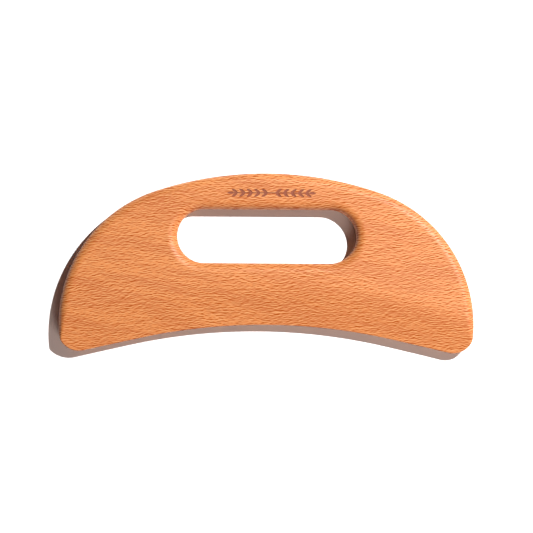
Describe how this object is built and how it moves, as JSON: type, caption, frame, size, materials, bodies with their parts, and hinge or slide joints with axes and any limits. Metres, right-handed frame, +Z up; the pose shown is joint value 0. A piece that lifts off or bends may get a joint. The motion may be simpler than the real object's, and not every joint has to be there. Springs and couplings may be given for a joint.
{
  "type": "gua sha scraper",
  "caption": "Flat wooden body-scraping board with a curved back, rounded shoulders, a slot for the fingers, and a long hollow scraping edge, beveled on the front, between blunt tips.",
  "frame": {"origin": "middle of the face that the board lies on, on the table", "axes": "+X along the board from tip to tip, +Y towards its curved back, +Z up through its thickness, out of the engraved front face"},
  "size_m": [0.245, 0.1054, 0.012],
  "materials": {
    "oiled_beech": "flat-sawn beech, sanded smooth and lightly oiled, with the engraved sprig scorched dark brown"
  },
  "bodies": {
    "root": {"scraper_board": "oiled_beech"}
  },
  "joints": []
}
